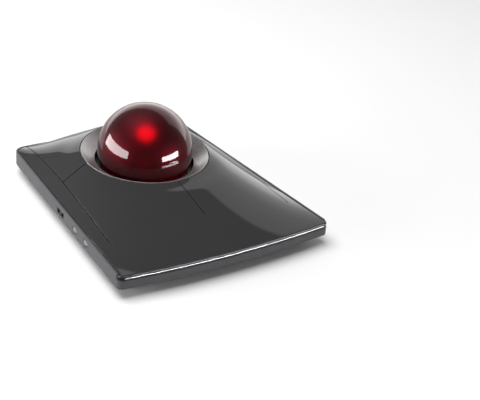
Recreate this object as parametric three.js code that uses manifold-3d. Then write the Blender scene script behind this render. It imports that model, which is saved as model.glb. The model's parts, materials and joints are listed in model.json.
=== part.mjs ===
// Desktop trackball: a low wedge-shaped housing with a large resin ball held in a socket,
// four rocking top buttons, and mode, pairing and speed controls on the left wall.
// Millimetres, +Z up, +X to the user's right, +Y away from the user, origin under the middle.

import * as THREE from 'three';
import { mergeVertices } from 'three/addons/utils/BufferGeometryUtils.js';
import Module from 'manifold-3d';

const wasm = await Module();
wasm.setup();

// Plan of the housing
const DEPTH = 152;
const FRONT_HALF = 66;
const REAR_HALF = 56;
const FRONT_BOW = 3.4;
const FRONT_CORNER = 4;
const REAR_CORNER = 8;
const FRONT_Y = -DEPTH / 2;
const REAR_Y = DEPTH / 2;
const ORIGIN_SHIFT = FRONT_BOW / 2;

// Heights
const FOOT_TOP = 0.6;
const BASE_BOTTOM = 0.9;
const BASE_TOP = 2.4;
const SKIRT_BOTTOM = 6;
const EDGE_Z = 13.8;
const BASE_INSET = 7;
const WALL = 2;
const STEP = 1.5;
const RIM = 1.1;
const CLEAR = 0.3;
const FAR = 80;

// Ball and socket
const BALL_R = 27.5;
const BALL_Y = 17;
const BALL_Z = 29.2;
const RING_R = 37;
const RING_DROP = 1.1;
const RING_SEAT_R = 28.6;
const RING_SEAT_DEEP = 5;
const RING_COLLAR_R = 31;
const RING_COLLAR_DEEP = 6.4;
const RING_SKIRT_DEEP = 2.4;
const RING_SIDES = 44;
const BALL_ROWS = 0.62;
const RING_TILT = THREE.MathUtils.degToRad(1.8);
const BALL_LAYERS = [8, 15, 21.5];
const LAYER_CLEAR = 1;
const PINHOLE_R = 0.7;
const CUP_IN = 28;
const CUP_OUT = 28.7;
const CUP_RIM = 11;
const CUP_HOLE_R = 9;
const CUP_FLANGE_R = 36.5;
const CUP_FLANGE = 1.4;
const CUP_SCREW_R = 34;
const CUP_SCREW_LONG = 9;
const CUP_SCREW_HEAD = 1.3;
const CUP_SCREW_LIFT = 0.4;
const CUP_STEPS = 6;
const CUP_SIDES = 28;
const CUP_LIP = 0.05;
const CUP_POST_R = 3.2;
const CUP_POST_GAP = 1.4;
const CUP_SCREW_TURNS = { right: 30, left: 150, front: 270 };
const BEARING_R = 1.5;
const BEARING_POCKET = 1.3;
const BEARING_POLAR = THREE.MathUtils.degToRad(48);
const BEARING_TURNS = { rear: 90, left: 210, right: 330 };
const SENSOR_POLAR = THREE.MathUtils.degToRad(54);
const SENSOR_TURNS = { left: 235, right: 305 };
const SENSOR_HOLE_R = 2.6;
const LENS_R = 2.2;
const LENS_DEEP = 1.3;
const SENSOR_SIDE = 9;
const SENSOR_THICK = 3;

// Top surface and its seams
const RISE = 20.4;
const SIDE_POWER = 2.4;
const FRONT_SOFT = 0.12;
const REAR_ROUND = 0.64;
const RING_BLEND = 14;
const COVER_THICK = 2.2;
const RAIL = 8;
const HINGE_Y = -49.5;
const CROSS_Y = 17;
const SEAM = 0.45;
const GRID_X = 22;
const GRID_Y = 27;

// Front nose and its bright strip
const NOSE_DEPTH = 2.4;
const NOSE_BOTTOM = 12.6;
const STRIP_BOTTOM = 11.1;
const STRIP_TOP = 12.3;
const STRIP_DEPTH = 1.6;
const STRIP_END = 3.5;

// Boards and switches
const BOARD_THICK = 1.2;
const STANDOFF_R = 2;
const STANDOFF_ROOT = 0.5;
const MAIN_BOARD_Z = 4.8;
const SIDE_BOARD_Z = 6.4;
const INLET_BOARD_Z = 5.2;
const STANDOFFS = {
  main: { across: [-46, -8], along: [-62, -36], top: MAIN_BOARD_Z },
  side: { across: [-46, 46], along: [-22, 33], top: SIDE_BOARD_Z },
  inlet: { across: [-8, 8], along: [62], top: INLET_BOARD_Z },
};
const MAIN_BOARD = { x0: -53, x1: 0, y0: -66, y1: -32, notch: 5.5 };
const SIDE_BOARD = { x0: 36, x1: 56, y0: -28, y1: 38, inset: 0.5, ballClear: 29.6 };
const INLET_BOARD = { half: 12, y0: 56, y1: 66.5 };
const BATTERY = { x: 26, y: -49, wide: 46, long: 32, corner: 2, tall: 5 };
const SWITCH_X = 46;
const SWITCH_HALF_WIDE = 3;
const SWITCH_HALF_LONG = 6.4;
const SWITCH_WELL = 1.3;
const POST_R = 2;
const SWITCH_TOP = 13.2;
const PLUNGER_R = 1.1;
const PLUNGER_TOP = 13.8;
const PLUNGER_LONG = 3;
const LOWER_SWITCH_Y = 5;
const UPPER_SWITCH_Y = 28;

// Left wall controls
const CONTROL_Z = 9.6;
const SLOT_HALF_TALL = 1.6;
const MODE_Y = 1;
const MODE_SLOT = 9;
const PAIR_Y = -19;
const SPEED_Y = -33.3;
const KEY = { halfLong: 2.5, halfTall: 1.4, deep: 3 };
const KEY_HOLE = { halfLong: 2.9, halfTall: 1.75 };
const KEY_INSET = 0.1;
const CONTROLS_X = -50;
const KNOB = { front: 0.2, deep: 3.4, halfLong: 1.5, halfTall: 1.2 };
const MODE_BODY = { front: 2.6, back: 8, halfLong: 7, top: 11.6 };
const MODE_WELL = { back: 4.2, halfLong: 4.4, halfTall: 1.5 };
const TACT = { front: 4, back: 8, halfLong: 3, rise: 1.8 };
const SIDE_FLOOR = SIDE_BOARD_Z + BOARD_THICK + CLEAR;

// Screws and inlet
const SCREWS = {
  front_left: [-54, -61.5],
  front_right: [54, -61.5],
  rear_left: [-48, 61],
  rear_right: [48, 61],
};
const SCREW_HEAD_R = 2.6;
const SCREW_SHANK_R = 1.2;
const BOSS_R = 2.6;
const BOSS_SPLIT = 5.4;
const ZONE_FLOOR = 11.3;
const SCREW_TIP = 10.8;
const SCREW_SEAT = 3.6;
const SCREW_HEAD_BOTTOM = 1.9;
const SCREW_TOWER = 1.6;
const SHANK_OVERLAP = 0.2;
const CROSS_HALF = 1.3;
const CROSS_SLIT = 0.35;
const CROSS_DEEP = 0.7;
const INLET_Z = 8.6;
const INLET_HALF = 4.5;
const INLET_R = 1.6;
const INLET_SHELL = 0.35;
const INLET_LONG = 14;
const TONGUE_HALF = 3.3;

// Underside
const LABEL = { y: -30, wide: 44, long: 20, corner: 1.2, gap: 0.3, deep: 0.25 };
const LABEL_TUCK = 0.2;
const LABEL_RISE = 0.05;
const FOOT = { wide: 20, long: 7, corner: 3.4 };
const FEET = {
  front_left: [-40, -64.5],
  front_right: [40, -64.5],
  rear_left: [-33, 64],
  rear_right: [33, 64],
};
const BALL_WELL_R = 11;
const BALL_WELL_FLOOR = 0.45;

// Colour, roughness and metalness of each finish
const COLOURS = {
  gloss: [0x2b2b2d, 0.12, 0],
  satin: [0x45464a, 0.42, 0],
  ring: [0x8a8987, 0.32, 0.7],
  bright: [0xd8d8da, 0.15, 0.9],
  resin: [0x4a0810, 0.08, 0],
  dark: [0x17181a, 0.6, 0],
  rubber: [0x1c1c1d, 0.85, 0],
  board: [0x14532f, 0.55, 0],
  steel: [0xa9abae, 0.35, 0.9],
  ceramic: [0xe9e6df, 0.25, 0],
  switchBody: [0x222428, 0.5, 0],
  plunger: [0xdad7cd, 0.45, 0],
  button: [0xb6b8bb, 0.4, 0],
  battery: [0x9aa0a6, 0.35, 0.4],
  lens: [0xbcc6cc, 0.1, 0],
  label: [0xb9babc, 0.5, 0],
};

const trackball = new THREE.Group();

// Triangles that merging has squeezed to nothing, as on a lathe's axis, are left out.
function toSolid(geometry) {
  const bare = geometry.clone();
  bare.deleteAttribute('normal');
  bare.deleteAttribute('uv');
  const merged = mergeVertices(bare, 1e-4);
  const corners = [];
  for (let i = 0; i < merged.index.count; i += 3) {
    const [a, b, c] = merged.index.array.slice(i, i + 3);
    if (a !== b && b !== c && c !== a) corners.push(a, b, c);
  }
  const mesh = new wasm.Mesh({
    numProp: 3,
    vertProperties: new Float32Array(merged.attributes.position.array),
    triVerts: new Uint32Array(corners),
  });
  return new wasm.Manifold(mesh);
}

function toGeometry(solid) {
  const mesh = solid.getMesh();
  const geometry = new THREE.BufferGeometry();
  geometry.setAttribute('position', new THREE.BufferAttribute(mesh.vertProperties, 3));
  geometry.setIndex(new THREE.BufferAttribute(mesh.triVerts, 1));
  geometry.computeVertexNormals();
  return geometry;
}

function put(name, shape, finish) {
  const geometry = toGeometry(shape);
  geometry.translate(0, ORIGIN_SHIFT, 0);
  const [color, roughness, metalness] = COLOURS[finish];
  const material = new THREE.MeshStandardMaterial({ color, roughness, metalness });
  const mesh = new THREE.Mesh(geometry, material);
  mesh.name = name;
  trackball.add(mesh);
}

function boxBetween(x0, x1, y0, y1, z0, z1) {
  const box = new THREE.BoxGeometry(x1 - x0, y1 - y0, z1 - z0);
  box.translate((x0 + x1) / 2, (y0 + y1) / 2, (z0 + z1) / 2);
  return toSolid(box);
}

function rod(radius, x, y, z0, z1, sides = 14) {
  const cylinder = new THREE.CylinderGeometry(radius, radius, z1 - z0, sides);
  cylinder.rotateX(Math.PI / 2);
  cylinder.translate(x, y, (z0 + z1) / 2);
  return toSolid(cylinder);
}

function ballAt(radius, centre, across, around) {
  const sphere = new THREE.SphereGeometry(radius, across, around);
  sphere.rotateX(Math.PI / 2);
  sphere.translate(centre.x, centre.y, centre.z);
  return toSolid(sphere);
}

function prism(shape, z0, z1) {
  const block = new THREE.ExtrudeGeometry(shape, {
    depth: z1 - z0,
    bevelEnabled: false,
    curveSegments: 8,
  });
  block.translate(0, 0, z0);
  return toSolid(block);
}

// A flat plate with rounded corners, centred on x, y.
function pad(x, y, width, depth, corner, z0, z1) {
  const w = width / 2;
  const d = depth / 2;
  const outline = roundedOutline([[-w, -d], [w, -d], [w, d], [-w, d]], [corner, corner, corner, corner]);
  return prism(outline, z0, z1).translate([x, y, 0]);
}

function halfWidth(y) {
  const along = (y - FRONT_Y) / DEPTH;
  return THREE.MathUtils.lerp(FRONT_HALF, REAR_HALF, THREE.MathUtils.clamp(along, 0, 1));
}

// A closed outline through the corners, each softened by a curve that starts a radius away.
// The first side may bow outwards.
function roundedOutline(corners, radii, bow = 0) {
  const shape = new THREE.Shape();
  corners.forEach((corner, i) => {
    const here = new THREE.Vector2(...corner);
    const before = new THREE.Vector2(...corners[(i + corners.length - 1) % corners.length]);
    const after = new THREE.Vector2(...corners[(i + 1) % corners.length]);
    const start = before.sub(here).setLength(radii[i]).add(here);
    const end = after.sub(here).setLength(radii[i]).add(here);
    if (i === 0) shape.moveTo(start.x, start.y);
    else if (i === 1) shape.quadraticCurveTo(0, start.y - 2 * bow, start.x, start.y);
    else shape.lineTo(start.x, start.y);
    shape.quadraticCurveTo(here.x, here.y, end.x, end.y);
  });
  shape.closePath();
  return shape;
}

// The housing's plan, drawn in by an inset, with its front edge kept at frontInset.
function plan(inset, frontInset = inset) {
  const y0 = FRONT_Y + frontInset;
  const y1 = REAR_Y - inset;
  const w0 = halfWidth(y0) - inset;
  const w1 = halfWidth(y1) - inset;
  const front = Math.max(FRONT_CORNER - inset, 1);
  const rear = Math.max(REAR_CORNER - inset, 1);
  const corners = [[-w0, y0], [w0, y0], [w1, y1], [-w1, y1]];
  return roundedOutline(corners, [front, front, rear, rear], FRONT_BOW);
}

// The bowed front edge of the plan.
function frontEdgeY(x) {
  const share = Math.min(Math.abs(x) / (FRONT_HALF - FRONT_CORNER), 1);
  return FRONT_Y - FRONT_BOW * (1 - share ** 2);
}

// The part of the housing that lies within a depth of its front edge.
function frontBand(depth, z0, z1) {
  const beyond = 2;
  const outer = plan(-beyond);
  return prism(outer, z0, z1).subtract(prism(outer, z0 - 1, z1 + 1).translate([0, depth + beyond, 0]));
}

// Fall of the surface from the ball towards the front edge: nearly straight, soft at the ball.
function frontFall(q) {
  return (Math.hypot(q, FRONT_SOFT) - FRONT_SOFT) / (Math.hypot(1, FRONT_SOFT) - FRONT_SOFT);
}

// Fall towards the rear edge: round at the ball and steep at the edge.
function rearFall(q) {
  return REAR_ROUND * q ** 2 + (1 - REAR_ROUND) * q ** 6;
}

function ringPlane(y) {
  return BALL_Z - RING_DROP + (y - BALL_Y) * Math.tan(RING_TILT);
}

// Height of the dome over the plan, before it meets the ring.
function domeZ(x, y) {
  const p = Math.min(Math.abs(x) / (halfWidth(y) - RIM - CLEAR), 1);
  const frontReach = BALL_Y - frontEdgeY(x);
  const rearReach = REAR_Y - RIM - CLEAR - BALL_Y;
  const q = Math.min(Math.abs(y - BALL_Y) / (y < BALL_Y ? frontReach : rearReach), 1);
  const fall = y < BALL_Y ? frontFall(q) : rearFall(q);
  return EDGE_Z + RISE * (1 - p ** SIDE_POWER) * (1 - fall);
}

// Height of the glossy top: the dome, shifted near the ring so that it meets the ring's rim.
function topZ(x, y) {
  const away = Math.hypot(x, y - BALL_Y);
  if (away >= RING_R + RING_BLEND || away === 0) return domeZ(x, y);
  const rimX = (x / away) * RING_R;
  const rimY = BALL_Y + ((y - BALL_Y) / away) * RING_R;
  const shift = ringPlane(rimY) - domeZ(rimX, rimY);
  const share = THREE.MathUtils.smootherstep((RING_R + RING_BLEND - away) / RING_BLEND, 0, 1);
  return domeZ(x, y) + shift * share;
}

// A closed solid under the top surface, down to a floor height that may vary.
function underTop(floor) {
  const across = GRID_X + 1;
  const count = across * (GRID_Y + 1);
  const frontY = FRONT_Y - FRONT_BOW - 1;
  const points = [];
  for (const height of [topZ, floor]) {
    for (let j = 0; j <= GRID_Y; j += 1) {
      const y = THREE.MathUtils.lerp(frontY, REAR_Y, j / GRID_Y);
      for (let i = 0; i <= GRID_X; i += 1) {
        const x = halfWidth(y) * ((2 * i) / GRID_X - 1);
        points.push(x, y, height(x, y));
      }
    }
  }
  const faces = [];
  const quad = (a, b, c, d) => faces.push(a, b, c, a, c, d);
  for (let j = 0; j < GRID_Y; j += 1) {
    for (let i = 0; i < GRID_X; i += 1) {
      const a = j * across + i;
      quad(a, a + 1, a + across + 1, a + across);
      quad(count + a + across, count + a + across + 1, count + a + 1, count + a);
    }
    const left = j * across;
    const right = left + GRID_X;
    quad(left + across, count + left + across, count + left, left);
    quad(right, count + right, count + right + across, right + across);
  }
  for (let i = 0; i < GRID_X; i += 1) {
    const rear = GRID_Y * across + i;
    quad(i, count + i, count + i + 1, i + 1);
    quad(rear + 1, count + rear + 1, count + rear, rear);
  }
  const geometry = new THREE.BufferGeometry();
  geometry.setAttribute('position', new THREE.Float32BufferAttribute(points, 3));
  geometry.setIndex(faces);
  return toSolid(geometry);
}

const skin = underTop((x, y) => topZ(x, y) - COVER_THICK);
const block = underTop(() => SKIRT_BOTTOM);

const ballCentre = new THREE.Vector3(0, BALL_Y, BALL_Z);

// Moves a geometry made around the origin onto the ball's centre and the ring's tilt.
function ontoSocket(geometry) {
  geometry.rotateX(RING_TILT);
  geometry.translate(ballCentre.x, ballCentre.y, ballCentre.z);
  return geometry;
}

function lathe(profile, segments) {
  const points = profile.map(([r, z]) => new THREE.Vector2(r, z));
  const turned = new THREE.LatheGeometry(points, segments);
  turned.rotateX(Math.PI / 2);
  return turned;
}

// The direction from the ball's centre, polar measured up from straight down.
function socketDirection(turnDegrees, polar) {
  const turn = THREE.MathUtils.degToRad(turnDegrees);
  const level = Math.sin(polar);
  return new THREE.Vector3(level * Math.cos(turn), level * Math.sin(turn), -Math.cos(polar));
}

function socketPoint(turnDegrees, polar, distance) {
  return socketDirection(turnDegrees, polar).multiplyScalar(distance).add(ballCentre);
}

const ringCut = toSolid(ontoSocket(new THREE.CylinderGeometry(RING_R + SEAM, RING_R + SEAM, 40, 54)
  .rotateX(Math.PI / 2)));

function polygon(points) {
  return new THREE.Shape(points.map(([x, y]) => new THREE.Vector2(x, y)));
}

// The plan of one button on the right side, between the centre line, a rail and two seams.
function buttonPlan(y0, y1) {
  const inner = SEAM / 2;
  const outer = (y) => halfWidth(y) - RAIL - SEAM / 2;
  return polygon([[inner, y0], [outer(y0), y0], [outer(y1), y1], [inner, y1]]);
}

function mirrored(solid, side) {
  return side < 0 ? solid.mirror([1, 0, 0]) : solid;
}

function makeTopCover() {
  const zone = polygon([
    [-halfWidth(HINGE_Y) + RAIL - SEAM / 2, HINGE_Y],
    [halfWidth(HINGE_Y) - RAIL + SEAM / 2, HINGE_Y],
    [halfWidth(REAR_Y + WALL) - RAIL + SEAM / 2, REAR_Y + WALL],
    [-halfWidth(REAR_Y + WALL) + RAIL - SEAM / 2, REAR_Y + WALL],
  ]);
  const nose = block
    .intersect(prism(plan(0), NOSE_BOTTOM, EDGE_Z + RISE))
    .intersect(frontBand(NOSE_DEPTH, NOSE_BOTTOM, BALL_Z));
  let cover = skin
    .intersect(prism(plan(RIM + CLEAR, 0), SKIRT_BOTTOM, BALL_Z))
    .subtract(frontBand(NOSE_DEPTH, SKIRT_BOTTOM, NOSE_BOTTOM))
    .add(nose);
  for (const [x, y] of Object.values(SCREWS)) {
    cover = cover
      .add(rod(BOSS_R, x, y, BOSS_SPLIT + CLEAR, BALL_Z).intersect(block))
      .subtract(rod(SCREW_SHANK_R + CLEAR, x, y, SKIRT_BOTTOM, EDGE_Z - COVER_THICK));
  }
  put('top_cover', cover.subtract(prism(zone, ZONE_FLOOR, FAR)), 'gloss');
}

// A post under each button reaches down to its switch plunger.
function makeButton(name, side, y0, y1, switchY) {
  const field = prism(buttonPlan(y0, y1), SKIRT_BOTTOM, FAR)
    .intersect(prism(plan(RIM + CLEAR), 0, FAR));
  const post = rod(POST_R, SWITCH_X, switchY, PLUNGER_TOP + CLEAR, BALL_Z, 16).intersect(block);
  const right = skin.intersect(field).add(post.intersect(field)).subtract(ringCut);
  put(name, mirrored(right, side), 'gloss');
}

function makeMicroswitch(corner, side, y) {
  const x = side * SWITCH_X;
  const bottom = SIDE_BOARD_Z + BOARD_THICK + CLEAR;
  const foot = PLUNGER_TOP - PLUNGER_LONG;
  const halfWide = SWITCH_HALF_WIDE;
  const halfLong = SWITCH_HALF_LONG;
  const body = boxBetween(x - halfWide, x + halfWide, y - halfLong, y + halfLong, bottom, SWITCH_TOP)
    .subtract(rod(PLUNGER_R + CLEAR, x, y, foot - SWITCH_WELL, SWITCH_TOP + 1, 12));
  put(`microswitch_${corner}`, body, 'switchBody');
  put(`switch_plunger_${corner}`, rod(PLUNGER_R, x, y, foot, PLUNGER_TOP, 12), 'plunger');
}

function makeButtons() {
  for (const [word, side] of [['left', -1], ['right', 1]]) {
    makeButton(`button_lower_${word}`, side, HINGE_Y + CLEAR, CROSS_Y - CLEAR, LOWER_SWITCH_Y);
    makeButton(`button_upper_${word}`, side, CROSS_Y + CLEAR, REAR_Y, UPPER_SWITCH_Y);
    makeMicroswitch(`lower_${word}`, side, LOWER_SWITCH_Y);
    makeMicroswitch(`upper_${word}`, side, UPPER_SWITCH_Y);
  }
}

// The tub: a skirt round a base that is drawn in, hollowed out, with a rim to hold the cover.
function caseTub() {
  const rimFloor = EDGE_Z - COVER_THICK - CLEAR;
  return prism(plan(0), SKIRT_BOTTOM, EDGE_Z)
    .add(prism(plan(BASE_INSET), BASE_BOTTOM, SKIRT_BOTTOM + 1))
    .subtract(prism(plan(WALL), SKIRT_BOTTOM + STEP, rimFloor))
    .subtract(prism(plan(RIM, 0), rimFloor - STANDOFF_ROOT, EDGE_Z + 1))
    .subtract(prism(plan(BASE_INSET + WALL), BASE_TOP, SKIRT_BOTTOM + STEP + 1))
    .subtract(frontBand(NOSE_DEPTH + CLEAR, STRIP_BOTTOM - CLEAR, EDGE_Z + 1))
    .subtract(rod(BALL_WELL_R, 0, BALL_Y, BASE_BOTTOM + BALL_WELL_FLOOR, BASE_TOP + 1, 32));
}

// Towers for the case screws, each hollowed at the top for the cover's boss.
function withScrewTowers(shell) {
  let towers = shell;
  for (const [x, y] of Object.values(SCREWS)) {
    towers = towers
      .add(rod(SCREW_HEAD_R + SCREW_TOWER, x, y, BASE_BOTTOM, SKIRT_BOTTOM + STEP))
      .subtract(rod(BOSS_R + CLEAR, x, y, BOSS_SPLIT, EDGE_Z))
      .subtract(rod(SCREW_HEAD_R + CLEAR, x, y, 0, SCREW_SEAT))
      .subtract(rod(SCREW_SHANK_R + CLEAR, x, y, BASE_BOTTOM, BOSS_SPLIT + 1));
  }
  return towers;
}

// Standoffs under the boards and posts under the socket cup.
function withPosts(shell) {
  let posts = shell;
  for (const { across, along, top } of Object.values(STANDOFFS)) {
    for (const [x, y] of across.flatMap((x) => along.map((y) => [x, y]))) {
      posts = posts.add(rod(STANDOFF_R, x, y, BASE_TOP - STANDOFF_ROOT, top - CLEAR, 8));
    }
  }
  const postTop = BALL_Z - CUP_RIM - CUP_FLANGE - CUP_POST_GAP;
  for (const turn of Object.values(CUP_SCREW_TURNS)) {
    const { x, y } = cupScrewPlace(turn);
    posts = posts
      .add(rod(CUP_POST_R, x, y, BASE_TOP - STANDOFF_ROOT, postTop))
      .subtract(rod(SCREW_SHANK_R + CLEAR, x, y, SKIRT_BOTTOM, BALL_Z));
  }
  return posts;
}

function makeLowerCase() {
  const slot = boxBetween(
    -FAR, CONTROLS_X,
    MODE_Y - MODE_SLOT / 2, MODE_Y + MODE_SLOT / 2,
    CONTROL_Z - SLOT_HALF_TALL, CONTROL_Z + SLOT_HALF_TALL,
  );
  let shell = withPosts(withScrewTowers(caseTub())).subtract(slot);
  for (const y of [PAIR_Y, SPEED_Y]) shell = shell.subtract(wallOval(y, KEY_HOLE, -FAR, CONTROLS_X));
  const mouth = inletBlock(INLET_HALF + CLEAR, INLET_R + CLEAR, REAR_Y - INLET_LONG, REAR_Y + 1);
  const recess = pad(
    0, LABEL.y, LABEL.wide + 2 * LABEL.gap, LABEL.long + 2 * LABEL.gap,
    LABEL.corner + LABEL.gap, 0, BASE_BOTTOM + LABEL.deep,
  );
  put('lower_case', shell.subtract(mouth).subtract(recess), 'satin');
}

// An oval bar across the left wall, half its length along Y and half its height in Z.
function wallOval(y, { halfLong, halfTall }, x0, x1) {
  const outline = new THREE.Shape();
  outline.absellipse(0, 0, halfLong, halfTall, 0, Math.PI * 2);
  const bar = new THREE.ExtrudeGeometry(outline, {
    depth: x1 - x0,
    bevelEnabled: false,
    curveSegments: 12,
  });
  bar.rotateX(Math.PI / 2);
  bar.rotateZ(Math.PI / 2);
  bar.translate(x0, y, CONTROL_Z);
  return toSolid(bar);
}

// A flat bar with round ends, lying along Y, as the inlet's mouth and shell.
function inletBlock(half, radius, y0, y1) {
  const outline = roundedOutline(
    [[-half, -radius], [half, -radius], [half, radius], [-half, radius]],
    [radius, radius, radius, radius],
  );
  const bar = new THREE.ExtrudeGeometry(outline, {
    depth: y1 - y0,
    bevelEnabled: false,
    curveSegments: 4,
  });
  bar.rotateX(Math.PI / 2);
  bar.translate(0, y1, INLET_Z);
  return toSolid(bar);
}

function makeFrontStrip() {
  const half = FRONT_HALF - STRIP_END;
  const strip = frontBand(STRIP_DEPTH, STRIP_BOTTOM, STRIP_TOP)
    .intersect(prism(plan(0), STRIP_BOTTOM, STRIP_TOP))
    .intersect(boxBetween(-half, half, -FAR - FRONT_BOW, 0, STRIP_BOTTOM, STRIP_TOP));
  put('front_strip', strip, 'bright');
}

// A shallow cone from the top's rim down to the ball, with a short collar under it.
function makeSocketRing() {
  const collar = -RING_DROP - RING_COLLAR_DEEP;
  const ring = lathe([
    [RING_R, -RING_DROP],
    [RING_SEAT_R, -RING_DROP - RING_SEAT_DEEP],
    [RING_SEAT_R, collar],
    [RING_COLLAR_R, collar],
    [RING_R - SEAM, -RING_DROP - RING_SKIRT_DEEP],
    [RING_R, -RING_DROP - SEAM],
    [RING_R, -RING_DROP],
  ], RING_SIDES);
  put('socket_ring', toSolid(ontoSocket(ring)), 'ring');
}

// The cup's bowl and flange, with its middle open over the well in the case's floor.
function cupBowl() {
  const rimAngle = Math.asin(CUP_RIM / CUP_IN);
  const arc = (radius, from, to) => Array.from({ length: CUP_STEPS + 1 }, (_, i) => {
    const angle = THREE.MathUtils.lerp(from, to, i / CUP_STEPS);
    return [radius * Math.cos(angle), radius * Math.sin(angle)];
  });
  const inner = arc(CUP_IN, -rimAngle, -Math.acos(CUP_HOLE_R / CUP_IN));
  const outer = arc(CUP_OUT, -Math.acos(CUP_HOLE_R / CUP_OUT), -rimAngle - CUP_LIP);
  const flange = [[CUP_FLANGE_R, -CUP_RIM - CUP_FLANGE], [CUP_FLANGE_R, -CUP_RIM], inner[0]];
  return toSolid(ontoSocket(lathe([...inner, ...outer, ...flange], CUP_SIDES)));
}

function makeSocketCup() {
  let cup = cupBowl();
  const hollow = ballAt(CUP_IN, ballCentre, 20, 12);
  for (const [word, turn] of Object.entries(BEARING_TURNS)) {
    const seat = socketPoint(turn, BEARING_POLAR, BALL_R + CLEAR + BEARING_R);
    cup = cup
      .add(ballAt(BEARING_R + BEARING_POCKET, seat, 10, 7).subtract(hollow))
      .subtract(ballAt(BEARING_R + CLEAR, seat, 10, 7));
    put(`bearing_${word}`, ballAt(BEARING_R, seat, 10, 7), 'ceramic');
  }
  for (const turn of Object.values(SENSOR_TURNS)) {
    cup = cup.subtract(sensorRod(turn, SENSOR_HOLE_R, CUP_IN - SENSOR_THICK, CUP_OUT + SENSOR_THICK));
  }
  for (const [word, turn] of Object.entries(CUP_SCREW_TURNS)) {
    const { x, y } = cupScrewPlace(turn);
    cup = cup.subtract(rod(SCREW_SHANK_R + CLEAR, x, y, 0, BALL_Z));
    const seat = BALL_Z - CUP_RIM + (y - BALL_Y) * Math.tan(RING_TILT) + CUP_SCREW_LIFT;
    const screw = crossScrew(x, y, seat, seat + CUP_SCREW_HEAD, seat - CUP_SCREW_LONG, 1);
    put(`cup_screw_${word}`, screw, 'steel');
  }
  put('socket_cup', cup, 'dark');
}

function cupScrewPlace(turnDegrees) {
  const turn = THREE.MathUtils.degToRad(turnDegrees);
  return new THREE.Vector2(CUP_SCREW_R * Math.cos(turn), BALL_Y + CUP_SCREW_R * Math.sin(turn));
}

// A round bar that points at the ball's centre, between two distances from it.
function sensorRod(turn, radius, near, far) {
  const bar = new THREE.CylinderGeometry(radius, radius, far - near, 14);
  const aim = socketDirection(turn, SENSOR_POLAR);
  bar.applyQuaternion(new THREE.Quaternion().setFromUnitVectors(new THREE.Vector3(0, 1, 0), aim));
  const middle = socketPoint(turn, SENSOR_POLAR, (near + far) / 2);
  bar.translate(middle.x, middle.y, middle.z);
  return toSolid(bar);
}

// Each sensor is a lens that looks through the cup, with its flat package behind it.
function makeSensors() {
  for (const [word, turn] of Object.entries(SENSOR_TURNS)) {
    put(`sensor_lens_${word}`, sensorRod(turn, LENS_R, CUP_OUT - CLEAR, CUP_OUT + LENS_DEEP), 'lens');
    const chip = new THREE.BoxGeometry(SENSOR_SIDE, SENSOR_THICK, SENSOR_SIDE);
    const aim = socketDirection(turn, SENSOR_POLAR);
    chip.applyQuaternion(new THREE.Quaternion().setFromUnitVectors(new THREE.Vector3(0, 1, 0), aim));
    const middle = socketPoint(turn, SENSOR_POLAR, CUP_OUT + LENS_DEEP + CLEAR + SENSOR_THICK / 2);
    chip.translate(middle.x, middle.y, middle.z);
    put(`sensor_module_${word}`, toSolid(chip), 'switchBody');
  }
}

// The solid ball, cut into nested layers so that each layer can carry one of its free turns.
function makeBall() {
  const [core, inner, middle] = BALL_LAYERS;
  put('ball_core', ballAt(core, ballCentre, 14, 10), 'resin');
  const layers = [
    ['ball_inner', inner, core, 14],
    ['ball_middle', middle, inner, 16],
    ['ball', BALL_R, middle, 28],
  ];
  for (const [name, outside, inside, across] of layers) {
    const hollow = ballAt(inside + LAYER_CLEAR, ballCentre, 14, 9);
    const pinhole = rod(PINHOLE_R, 0, BALL_Y, BALL_Z - outside - 1, BALL_Z, 6);
    const layer = ballAt(outside, ballCentre, across, Math.round(across * BALL_ROWS));
    put(name, layer.subtract(hollow).subtract(pinhole), 'resin');
  }
}

function makeBoards() {
  const main = MAIN_BOARD;
  const [cornerX, cornerY] = SCREWS.front_left;
  const mainBoard = boxBetween(main.x0, main.x1, main.y0, main.y1, MAIN_BOARD_Z, MAIN_BOARD_Z + BOARD_THICK)
    .subtract(rod(main.notch, cornerX, cornerY, 0, EDGE_Z));
  put('main_board', mainBoard, 'board');
  const side = SIDE_BOARD;
  for (const [word, way] of [['left', -1], ['right', 1]]) {
    const board = boxBetween(side.x0, side.x1, side.y0, side.y1, SIDE_BOARD_Z, SIDE_BOARD_Z + BOARD_THICK)
      .intersect(prism(plan(BASE_INSET + WALL + side.inset), 0, EDGE_Z))
      .subtract(rod(side.ballClear, 0, BALL_Y, 0, EDGE_Z, 40));
    put(`switch_board_${word}`, mirrored(board, way), 'board');
  }
  const { half, y0, y1 } = INLET_BOARD;
  put('usb_board', boxBetween(-half, half, y0, y1, INLET_BOARD_Z, INLET_BOARD_Z + BOARD_THICK), 'board');
}

function makeBattery() {
  const { x, y, wide, long, corner, tall } = BATTERY;
  const bottom = BASE_TOP + CLEAR;
  put('battery', pad(x, y, wide, long, corner, bottom, bottom + tall), 'battery');
}

// The inlet's metal shell with the tongue that carries its contacts.
function makeInlet() {
  const back = REAR_Y - INLET_LONG;
  const inside = inletBlock(INLET_HALF - INLET_SHELL, INLET_R - INLET_SHELL, back + 1, REAR_Y + 1);
  const tongue = boxBetween(
    -TONGUE_HALF, TONGUE_HALF, back + INLET_SHELL, REAR_Y - SCREW_SEAT,
    INLET_Z - INLET_SHELL, INLET_Z + INLET_SHELL,
  );
  const shell = inletBlock(INLET_HALF, INLET_R, back, REAR_Y - 2 * CLEAR).subtract(inside).add(tongue);
  put('usb_inlet', shell, 'steel');
}

function wallX(y) {
  return -halfWidth(y);
}

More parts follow.
